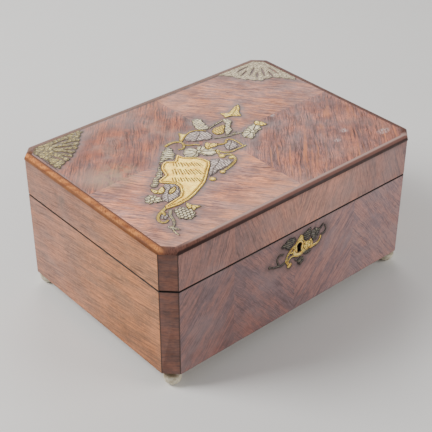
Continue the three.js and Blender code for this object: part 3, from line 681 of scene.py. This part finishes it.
def smoothed(item, degrees):
    """Rounds off the shading of a turned or moulded piece."""
    bm = bmesh.new()
    bm.from_mesh(item.data)
    bmesh.ops.remove_doubles(bm, verts=bm.verts, dist=WELD)
    bm.to_mesh(item.data)
    bm.free()
    item.data.polygons.foreach_set("use_smooth", [True] * len(item.data.polygons))
    item.data.set_sharp_from_angle(angle=math.radians(degrees))


# Which veneer a face takes: how far from a plane it may lie, and the least part of its
# direction that has to point a way
NEAR_SEAM = 1.0 * MM
NEAR_SIDE = 1.2 * MM
NEAR_CUT = 1.5 * MM
NEAR_TOP = 0.5 * MM
NEAR_BOTTOM = 1 * MM
KEYHOLE_HALF_WIDTH = 4 * MM
KEYHOLE_HALF_HEIGHT = 8 * MM
FACING = 0.5


def veneered(name):
    """The case or the lid: each face takes its own leaf of veneer."""
    item = copy_of(name)
    kinds = ["front", "end", "top", "chamfer", "back", "inside", "under", "dark", "rim"]
    for kind in kinds:
        item.data.materials.append(LOOKS[kind])
    for face in item.data.polygons:
        c, n = face.center, face.normal
        at_seam = abs(c.z - SEAM) < NEAR_SEAM and abs(n.z) > 0.3
        outside_x = abs(c.x) > HALF_X - NEAR_SIDE
        outside_y = abs(c.y) > HALF_Y - NEAR_SIDE
        slant = abs(abs(n.x) - abs(n.y)) < 0.2 and abs(n.z) < 0.6
        at_cut = abs(c.x) + abs(c.y) > HALF_X + HALF_Y - CORNER_CUT - NEAR_CUT
        in_wall = -HALF_Y + 0.2 * MM < c.y < -HALF_Y + WALL + 1 * MM
        at_keyhole = abs(c.x) < KEYHOLE_HALF_WIDTH and abs(c.z - KEYHOLE) < KEYHOLE_HALF_HEIGHT
        if at_seam:
            kind = "rim"
        # Inside the keyhole: nearly black wood as painted shade in the hole.
        elif in_wall and at_keyhole:
            kind = "dark"
        elif slant and at_cut:
            kind = "chamfer"
        elif outside_y and c.y < 0 and n.y < -FACING:
            kind = "front"
        elif outside_y and n.y > FACING:
            kind = "back"
        elif outside_x and abs(n.x) > FACING:
            kind = "end"
        elif name == "lid" and c.z > LID_TOP - NEAR_TOP and n.z > FACING:
            kind = "top"
        elif name == "case" and c.z < CASE_LOW + NEAR_BOTTOM:
            kind = "under"
        else:
            kind = "inside"
        face.material_index = kinds.index(kind)
    soften(item, WOOD_EASE)
    slot_of(name)
    return item


# Ornament: plates with a pillowed, engraved top, and old dirt and painted shadow in the wood round
# them
class Ground:
    """The flat face that some plates lie on, with two directions along it and one out of it."""

    def __init__(self, level, right, up, out):
        self.right, self.up, self.out = Vector(right), Vector(up), Vector(out)
        self.level = level

    def flat(self, co):
        return (co.dot(self.right) / MM, co.dot(self.up) / MM)

    def height(self, co):
        return (co.dot(self.out) - self.level) / MM

    def place(self, u, v, height):
        return (self.right * u + self.up * v + self.out * height) * MM + self.out * self.level


LID_GROUND = Ground(LID_TOP, (1, 0, 0), (0, 1, 0), (0, 0, 1))
FRONT_GROUND = Ground(HALF_Y, (1, 0, 0), (0, 0, 1), (0, -1, 0))


def rim_of(mesh, ground, wanted):
    """Edges round the flat faces for which wanted is true, as pairs of places on the ground."""
    def key(i):
        return tuple(round(c, 3) for c in ground.flat(mesh.vertices[i].co))

    count = {}
    for face in mesh.polygons:
        if not wanted(face):
            continue
        for a, b in face.edge_keys:
            pair = tuple(sorted((key(a), key(b))))
            count[pair] = count.get(pair, 0) + 1
    return [pair for pair, times in count.items() if times == 1 and pair[0] != pair[1]]


def split_rim(rim, step):
    """Points along the rim and the index pairs that join them."""
    points, links, seen = [], [], {}

    def index(p):
        key = (round(p[0], 3), round(p[1], 3))
        if key not in seen:
            seen[key] = len(points)
            points.append(p)
        return seen[key]

    for p, q in rim:
        parts = max(1, math.ceil(math.dist(p, q) / step))
        steps = [(p[0] + (q[0] - p[0]) * i / parts, p[1] + (q[1] - p[1]) * i / parts)
                 for i in range(parts + 1)]
        ids = [index(step_point) for step_point in steps]
        links += [pair for pair in zip(ids, ids[1:]) if pair[0] != pair[1]]
    return points, links


def inside(points, rim):
    """Which points lie inside the rim, holes left out."""
    points = np.asarray(points, dtype=float)
    result = np.zeros(len(points), dtype=bool)
    for (x0, y0), (x1, y1) in rim:
        if y0 == y1:
            continue
        crosses = (points[:, 1] > min(y0, y1)) & (points[:, 1] <= max(y0, y1))
        at = x0 + (points[:, 1] - y0) * (x1 - x0) / (y1 - y0)
        result ^= crosses & (points[:, 0] < at)
    return result


# Height of a honeycomb's row for a step of one, and how near two points of a fill may lie
ROW_HEIGHT = 0.866
FILL_TOLERANCE = 1e-4


def tree_of(rims, step=0.15):
    """Finds the nearest place on some rims."""
    places = [p for rim in rims for p in split_rim(rim, step)[0]]
    tree = kdtree.KDTree(len(places))
    for i, (u, v) in enumerate(places):
        tree.insert((u, v, 0), i)
    tree.balance()
    return tree


def hex_points(rim, step):
    """Points in a honeycomb over the area of a rim."""
    ends = np.array([p for pair in rim for p in pair])
    low_u, low_v = ends.min(0)
    high_u, high_v = ends.max(0)
    rows = np.arange(low_v, high_v, step * ROW_HEIGHT)
    return [(u + (i % 2) * step / 2, v) for i, v in enumerate(rows)
            for u in np.arange(low_u, high_u, step)]


def triangles(rim, extra, step):
    """Fills a rim with small triangles through the extra points."""
    points, links = split_rim(rim, step)
    places = [Vector(p) for p in points + extra]
    made = geometry.delaunay_2d_cdt(places, links, [], 1, FILL_TOLERANCE)
    verts, faces = made[0], made[2]
    middles = [(verts[a] + verts[b] + verts[c]) / 3 for a, b, c in faces]
    keep = inside([tuple(m) for m in middles], rim)
    return verts, [f for f, kept in zip(faces, keep) if kept]


def smooth(value, start, end):
    t = min(1, max(0, (value - start) / (end - start)))
    return t * t * (3 - 2 * t)


def from_ray(angle, far, count):
    """Distance to the nearest of some rays that go out from a middle."""
    turn = abs((angle / (2 * math.pi) * count + 0.5) % 1 - 0.5)
    return turn / count * 2 * math.pi * far


def groove(distance, width):
    """One in the middle of a cut line, nothing beyond its width."""
    return max(0.0, 1 - (distance / width) ** 2)


def wave(value, spacing):
    """Distance to the nearest of some evenly spaced lines."""
    return abs((value / spacing + 0.5) % 1 - 0.5) * spacing


# Cut patterns, each giving how deep the graver went at a place on a piece. u and v are the
# place and edge is the distance to the outline, in millimetres; box is the piece's extent.
STROKES_MIDDLE = (-53, -20.5)
NEXT_STROKE = (1.75, -1.5)
NEXT_ROW = (-7.6, -8.9)
STROKE_LEAN = math.radians(-18)
STROKE_FAN = 0.04
HALF_STROKE = {-1: 3.1, 0: 4.4, 1: 3.1}
RING_RADIUS = 4.6
ROSE_PLACE = (9.2, -1.6)
ROSE_RADIUS = 4.6


def strokes_cut(u, v, edge, box):
    """Rows of slanted strokes that fan a little, each with a finer one beside it, inside a
    double border."""
    cut = max(groove(edge - 2.1, 0.4), groove(edge - 3.0, 0.3) * 0.6)
    for row, half in HALF_STROKE.items():
        for place in range(-5, 6):
            thick, share = (0.55, 1) if place % 2 == 0 else (0.34, 0.8)
            lean = STROKE_LEAN + STROKE_FAN * place
            du = u - (STROKES_MIDDLE[0] + NEXT_STROKE[0] * place + NEXT_ROW[0] * row)
            dv = v - (STROKES_MIDDLE[1] + NEXT_STROKE[1] * place + NEXT_ROW[1] * row)
            along = dv * math.cos(lean) - du * math.sin(lean)
            across = du * math.cos(lean) + dv * math.sin(lean)
            beyond = max(0.0, abs(along) - half * share)
            cut = max(cut, groove(math.hypot(across, beyond), thick))
    return cut


def keyhole_cut(u, v, edge, box):
    """A ring round the keyhole, a flower to its right, a line inside the edge and slanted
    lines in between."""
    v = v - KEYHOLE_Z
    far = math.hypot(u, v * 0.8 - 0.6)
    cut = max(groove(edge - 1.0, 0.3) * 0.8, groove(far - 5.0, 0.4))
    # Close to the keyhole the whole rim is cut down and darkened: painted shadow round the hole.
    if far < RING_RADIUS:
        cut = 1 - smooth(edge, 0.5, 1.2)
    du, dv = u - ROSE_PLACE[0], v - ROSE_PLACE[1]
    near = math.hypot(du, dv)
    if near < ROSE_RADIUS:
        petal = groove(from_ray(math.atan2(dv, du), near, 5), 0.5) if near > 1.4 else 0
        cut = max(petal, groove(near, 0.9), groove(near - 4.2, 0.5))
    if far > 6 and near > ROSE_RADIUS:
        cut = max(cut, groove(wave(u * 0.5 - v * 0.8, 3.6), 0.32) * 0.7)
    return cut


def ribs_cut(u, v, edge, box):
    """Ribs across a curved band."""
    along = u * 0.74 + v * 0.67
    across = -u * 0.67 + v * 0.74
    rib = wave(along + 0.18 * across + 0.5 * math.sin(across * 0.7), 3.3)
    return max(groove(rib, 0.62), groove(edge - 1.3, 0.3) * 0.7)


def scales_cut(u, v, edge, box):
    """Small overlapping scales."""
    row = math.floor(v / 2.2)
    du = (u + (row % 2) * 1.3) % 2.6 - 1.3
    dv = v % 2.2
    return max(groove(math.hypot(du, dv) - 1.25, 0.42), groove(edge - 0.9, 0.25) * 0.5)


def petals_cut(u, v, edge, box):
    """Petals round the middle, with a small ring and a line inside the edge."""
    cu, cv = (box[0] + box[2]) / 2, (box[1] + box[3]) / 2
    su, sv = max(1.0, box[2] - box[0]), max(1.0, box[3] - box[1])
    du, dv = (u - cu) / su, (v - cv) / sv
    angle, far = math.atan2(dv, du), math.hypot(du, dv) * min(su, sv)
    cut = groove(from_ray(angle, far, 9), 0.42) if far > 1.4 else 0
    cut = max(cut, groove(far - 1.9, 0.36))
    return max(cut, groove(edge - 1.2, 0.3) * 0.6)


def grapes_cut(u, v, edge, box):
    """Round berries packed close."""
    row = math.floor(v / 2.9)
    du = (u + (row % 2) * 1.6) % 3.2 - 1.6
    dv = v % 2.9 - 1.45
    return smooth(math.hypot(du, dv), 1.0, 1.75)


def hatch_cut(u, v, edge, box):
    """Parallel cut lines inside a border."""
    return max(groove(wave(u * 0.6 + v * 0.8, 1.5), 0.42), groove(edge - 0.8, 0.3) * 0.7)


def leaf_cut(u, v, edge, box):
    """A midrib with slanted side veins."""
    su, sv = box[2] - box[0], box[3] - box[1]
    length = math.hypot(su, sv)
    du, dv = su / length, sv / length
    cu, cv = u - (box[0] + box[2]) / 2, v - (box[1] + box[3]) / 2
    along, across = cu * du + cv * dv, -cu * dv + cv * du
    vein = wave(along + abs(across) * 0.9 + 0.4 * math.sin(along), 3.1)
    return max(groove(across + 0.6 * math.sin(along * 0.35), 0.36), groove(vein, 0.42) * 0.85)


def line_cut(u, v, edge, box):
    """A single line inside the edge."""
    return groove(edge - 0.85, 0.28) * 0.8


def lace_cut(u, v, edge, box):
    """Fine foliage, lacy: curls and veins that wind about."""
    a = math.sin(u * 0.8 + 1.3 * math.sin(v * 0.55)) + math.sin(v * 0.85 + 1.6 * math.sin(u * 0.5))
    b = math.sin(u * 1.5 + v * 0.6) * math.sin(v * 1.3 - u * 0.4 + 1.0)
    return max(groove(abs(a) * 0.7, 0.42), groove(abs(b) * 0.8, 0.25) * 0.7,
               groove(edge - 0.9, 0.3) * 0.7)


CUTS = {
    "cartouche_shield": strokes_cut, "scroll_beaded": ribs_cut, "leaf_patch": scales_cut,
    "flower": petals_cut, "grapes": grapes_cut, "escutcheon_leaf_hatched": hatch_cut,
    "escutcheon_leaf_left": hatch_cut, "escutcheon_plate": keyhole_cut, "scroll": line_cut,
    "corner": lace_cut, "bead": line_cut, "leaf_top": line_cut, "tail": line_cut,
    "escutcheon_flower": petals_cut, "escutcheon_leaf_right": petals_cut,
    "escutcheon_curl": line_cut, "escutcheon_scroll": line_cut,
}


def cut_for(name):
    """The pattern whose key fits most of the name, or else a leaf's veins."""
    fitting = [key for key in CUTS if name.startswith(key)]
    return CUTS[max(fitting, key=len)] if fitting else leaf_cut


# Plates, in millimetres: spacing of their points, and height of the top at its edge, of its
# pillow above that and of the cuts below it
PLATE_STEP = 0.42
RIM_STEP = 0.5
TOP_EDGE = 0.12
PILLOW = 0.28
CUT_DEPTH = 0.16
ON_GROUND = 0.05


def ornament_rim(name, ground):
    """Outline of a plate where it meets its ground."""
    mesh = nodes[name].data
    return rim_of(mesh, ground, lambda face: face.normal.dot(ground.out) < -0.9
                  and abs(ground.height(face.center)) < ON_GROUND)


def engraved_plate(name, ground, rim, look):
    """A plate with a pillowed top, its pattern cut in, and straight sides."""
    tree = tree_of([rim])
    comb = hex_points(rim, PLATE_STEP)
    keep = inside(comb, rim)
    extra = [p for p, kept in zip(comb, keep)
             if kept and tree.find((p[0], p[1], 0))[2] > PLATE_STEP * 0.6]
    verts, faces = triangles(rim, extra, RIM_STEP)
    ends = np.array([p for pair in rim for p in pair])
    box = (*ends.min(0), *ends.max(0))
    pattern = cut_for(name)
    places, relief = [], []
    for vert in verts:
        edge = tree.find((vert.x, vert.y, 0))[2]
        cut = pattern(vert.x, vert.y, edge, box)
        pillow = smooth(edge, 0.0, 1.5) * 0.6 + smooth(edge, 0.0, 0.5) * 0.4
        height = TOP_EDGE + PILLOW * pillow - CUT_DEPTH * cut * smooth(edge, 0.1, 0.6)
        places.append(ground.place(vert.x, vert.y, height))
        relief.append(max(0.0, min(1.0, smooth(edge, -0.1, 0.55) - cut)))
    runs = dict.fromkeys((a, b) for face in faces for a, b in zip(face, (*face[1:], face[0])))
    sides = []
    foot = {}
    for a, b in runs:
        if (b, a) in runs:
            continue
        for i in (a, b):
            if i not in foot:
                foot[i] = len(places)
                places.append(ground.place(verts[i].x, verts[i].y, 0))
                relief.append(0.0)
        sides.append((b, a, foot[a], foot[b]))
    mesh = bpy.data.meshes.new(name + "_look")
    mesh.from_pydata([tuple(p) for p in places], [], [tuple(f) for f in faces] + sides)
    mesh.polygons.foreach_set("use_smooth", [i < len(faces) for i in range(len(mesh.polygons))])
    layer = mesh.attributes.new("relief", "FLOAT", "POINT")
    layer.data.foreach_set("value", relief)
    item = bpy.data.objects.new(name + "_look", mesh)
    bpy.context.scene.collection.objects.link(item)
    item.data.materials.append(LOOKS[look])
    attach(item, frame_body(name))
    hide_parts(name)
    slot_of(name)


# Dirt and painted shadow, in millimetres: rings of points beside the metal, the coarser comb
# beyond them, and how far dirt, shadow and film reach. The painted shadow reaches further out on
# the side that the light leaves dark.
RINGS = (0.02, 0.45, 1.0, 1.8, 3.0)
RING_STEP = 0.7
EDGE_MARGIN = 0.7
COMB_STEP = 4.0
COMB_GAP = 3.2
FACE_STEP = 400
SHADOW_SIDE = Vector((0.1, -1.0))
DIRT_REACH = 0.45
SHADOW_REACH = 0.9
FILM_REACH = 5.0


def dirt_and_shadow_face(item, ground, wanted, rims):
    """Fills a flat face again with small triangles near the plates, and keeps how much dirt and
    painted shadow lies at each point."""
    mesh = item.data
    rim = rim_of(mesh, ground, wanted)
    tree = tree_of(rims)
    blocked = [pair for ornament in rims for pair in ornament]
    extra = []
    for ornament in rims:
        points, links = split_rim(ornament, RING_STEP)
        for a, b in links:
            du, dv = points[b][0] - points[a][0], points[b][1] - points[a][1]
            run = math.hypot(du, dv)
            mu, mv = (points[a][0] + points[b][0]) / 2, (points[a][1] + points[b][1]) / 2
            for side in (-1, 1):
                for reach in RINGS:
                    p = (mu - side * dv / run * reach, mv + side * du / run * reach)
                    if tree.find((p[0], p[1], 0))[2] > reach * 0.8:
                        extra.append(p)
    extra += [p for p in hex_points(rim, COMB_STEP) if tree.find((*p, 0))[2] > COMB_GAP]
    edge_tree = tree_of([rim], 1.0)
    keep = inside(extra, rim)
    extra = [p for p, kept in zip(extra, keep)
             if kept and edge_tree.find((*p, 0))[2] > EDGE_MARGIN]
    verts, faces = triangles(rim, extra, FACE_STEP)
    covered = inside([tuple(v) for v in verts], blocked)
    dirt, film = [], []
    for vert, under in zip(verts, covered):
        near, _, distance = tree.find((vert.x, vert.y, 0))
        away = (Vector((vert.x, vert.y)) - near.xy) / max(distance, 1e-6)
        # Painted shadow: the dark rim reaches further out and is darker on the side away from the
        # light.
        shadow_side = max(0.0, away.dot(SHADOW_SIDE))
        reach = DIRT_REACH + SHADOW_REACH * shadow_side
        dirt.append(1.0 if under else (0.6 + 0.4 * shadow_side) * math.exp(-(distance / reach) ** 2))
        film.append(0.95 * math.exp(-(distance / FILM_REACH) ** 2))
    bm = bmesh.new()
    bm.from_mesh(mesh)
    bm.faces.ensure_lookup_table()
    old = [bm.faces[face.index] for face in mesh.polygons if wanted(face)]
    index = old[0].material_index
    bmesh.ops.delete(bm, geom=old, context="FACES_ONLY")
    layers = [bm.verts.layers.float.new(name) for name in ("grime_and_shadow", "film")]
    made = [bm.verts.new(ground.place(v.x, v.y, 0)) for v in verts]
    for layer, amounts in zip(layers, (dirt, film)):
        for vert, amount in zip(made, amounts):
            vert[layer] = min(1.0, amount)
    for face in faces:
        bm.faces.new([made[i] for i in face]).material_index = index
    bmesh.ops.remove_doubles(bm, verts=bm.verts, dist=WELD)
    bm.to_mesh(mesh)
    bm.free()


# Pieces
case_look = veneered("case")
lid_look = veneered("lid")

ornaments = {name: FRONT_GROUND if name.startswith("escutcheon") else LID_GROUND
             for name in nodes
             if name.startswith(("escutcheon", "cartouche", "leaf", "scroll", "flower", "bead",
                                 "grapes", "tail", "corner"))}
rims = {name: ornament_rim(name, ground) for name, ground in ornaments.items()}
DARK_GREY = ("leaf_middle", "leaf_right", "leaf_lower", "leaf_left_grey", "leaf_curl")
for name, ground in ornaments.items():
    if slot_of(name) == "brass":
        look = "brass_front" if ground is FRONT_GROUND else "brass"
        look = "shield" if name.startswith("cartouche") else look
    elif name.startswith("corner_ornament_left"):
        look = "corner_left"
    elif name.startswith("corner"):
        look = "corner_right"
    elif name.startswith("escutcheon"):
        look = "grey_front"
    elif name.startswith(DARK_GREY):
        look = "grey_dark"
    else:
        look = "grey"
    engraved_plate(name, ground, rims[name], look)

dirt_and_shadow_face(lid_look, LID_GROUND, lambda face: face.normal.z > 0.9
           and abs(LID_GROUND.height(face.center)) < ON_GROUND,
           [rims[n] for n, g in ornaments.items() if g is LID_GROUND])
dirt_and_shadow_face(case_look, FRONT_GROUND, lambda face: face.normal.y < -0.9
           and abs(FRONT_GROUND.height(face.center)) < ON_GROUND,
           [rims[n] for n, g in ornaments.items() if g is FRONT_GROUND])

# Rounded pieces have smooth shading, the others an eased edge of the width given
ROUND_ANGLE = 40
for name, look, width in [
    ("case_bottom", "under", BOARD_EASE),
    ("lock", "plain_brass", FITTING_EASE), ("strike_plate", "plain_brass", FITTING_EASE),
    ("hinge_left_lower", "steel", FITTING_EASE), ("hinge_left_upper", "steel", FITTING_EASE),
    ("hinge_right_lower", "steel", FITTING_EASE), ("hinge_right_upper", "steel", FITTING_EASE),
    ("lid_edge_moulding", "edge", None),
    ("foot_front_left", "bone", None), ("foot_front_right", "bone", None),
    ("foot_back_left", "bone", None), ("foot_back_right", "bone", None),
]:
    piece = copy_of(name)
    piece.data.materials.append(LOOKS[look])
    if width is None:
        smoothed(piece, ROUND_ANGLE)
    else:
        soften(piece, width)
    slot_of(name)

# Floor, lights and camera
FLOOR_SIZE = 8
FLOOR_TONE = srgb(232, 230, 226)
FLOOR_CLOUD = srgb(226, 224, 221)
LIGHT_TARGET = (0, 0, 0.08)
SKY_COLOUR = (0.86, 0.86, 0.87, 1)
SKY_STRENGTH = 0.34
SENSOR = 36
VIEW_ANGLE = math.radians(22.537)
CAMERA_PLACE = (-0.5303, -0.6060, 0.6082)
CAMERA_DIRECTION = (0.54195, 0.62399, -0.56296)

bpy.ops.mesh.primitive_plane_add(size=FLOOR_SIZE)
floor = bpy.context.object
floor.name = "floor"
floor_look = Look("floor", color=FLOOR_TONE)
cloud = floor_look.noise(floor_look.x / 300, floor_look.y / 300)
floor_look.color(floor_look.mix(cloud, FLOOR_TONE, FLOOR_CLOUD))
floor_look.rough(0.7)
floor.data.materials.append(floor_look.material)


def add(item, place, direction):
    """Puts a light or camera at a place, looking in a direction."""
    bpy.context.scene.collection.objects.link(item)
    item.location = place
    item.rotation_mode = "QUATERNION"
    item.rotation_quaternion = Vector(direction).to_track_quat("-Z", "Y")


for name, place, size, power in [
    ("key", (-1.1, 0.75, 1.25), 0.8, 37),
    ("back", (0.9, 1.2, 1.0), 0.9, 9.5),
    ("fill", (0.9, -1.2, 0.7), 1.0, 14.5),
]:
    light = bpy.data.lights.new(name, "AREA")
    light.size = size
    light.energy = power
    add(bpy.data.objects.new(name, light), place, Vector(LIGHT_TARGET) - Vector(place))
world = bpy.data.worlds.new("studio")
bpy.context.scene.world = world
world.use_nodes = True
world.node_tree.nodes["Background"].inputs[0].default_value = SKY_COLOUR
world.node_tree.nodes["Background"].inputs[1].default_value = SKY_STRENGTH

camera_data = bpy.data.cameras.new("camera")
camera_data.sensor_width = SENSOR
camera_data.lens = SENSOR / 2 / math.tan(VIEW_ANGLE / 2)
camera = bpy.data.objects.new("camera", camera_data)
add(camera, CAMERA_PLACE, CAMERA_DIRECTION)
bpy.context.scene.camera = camera
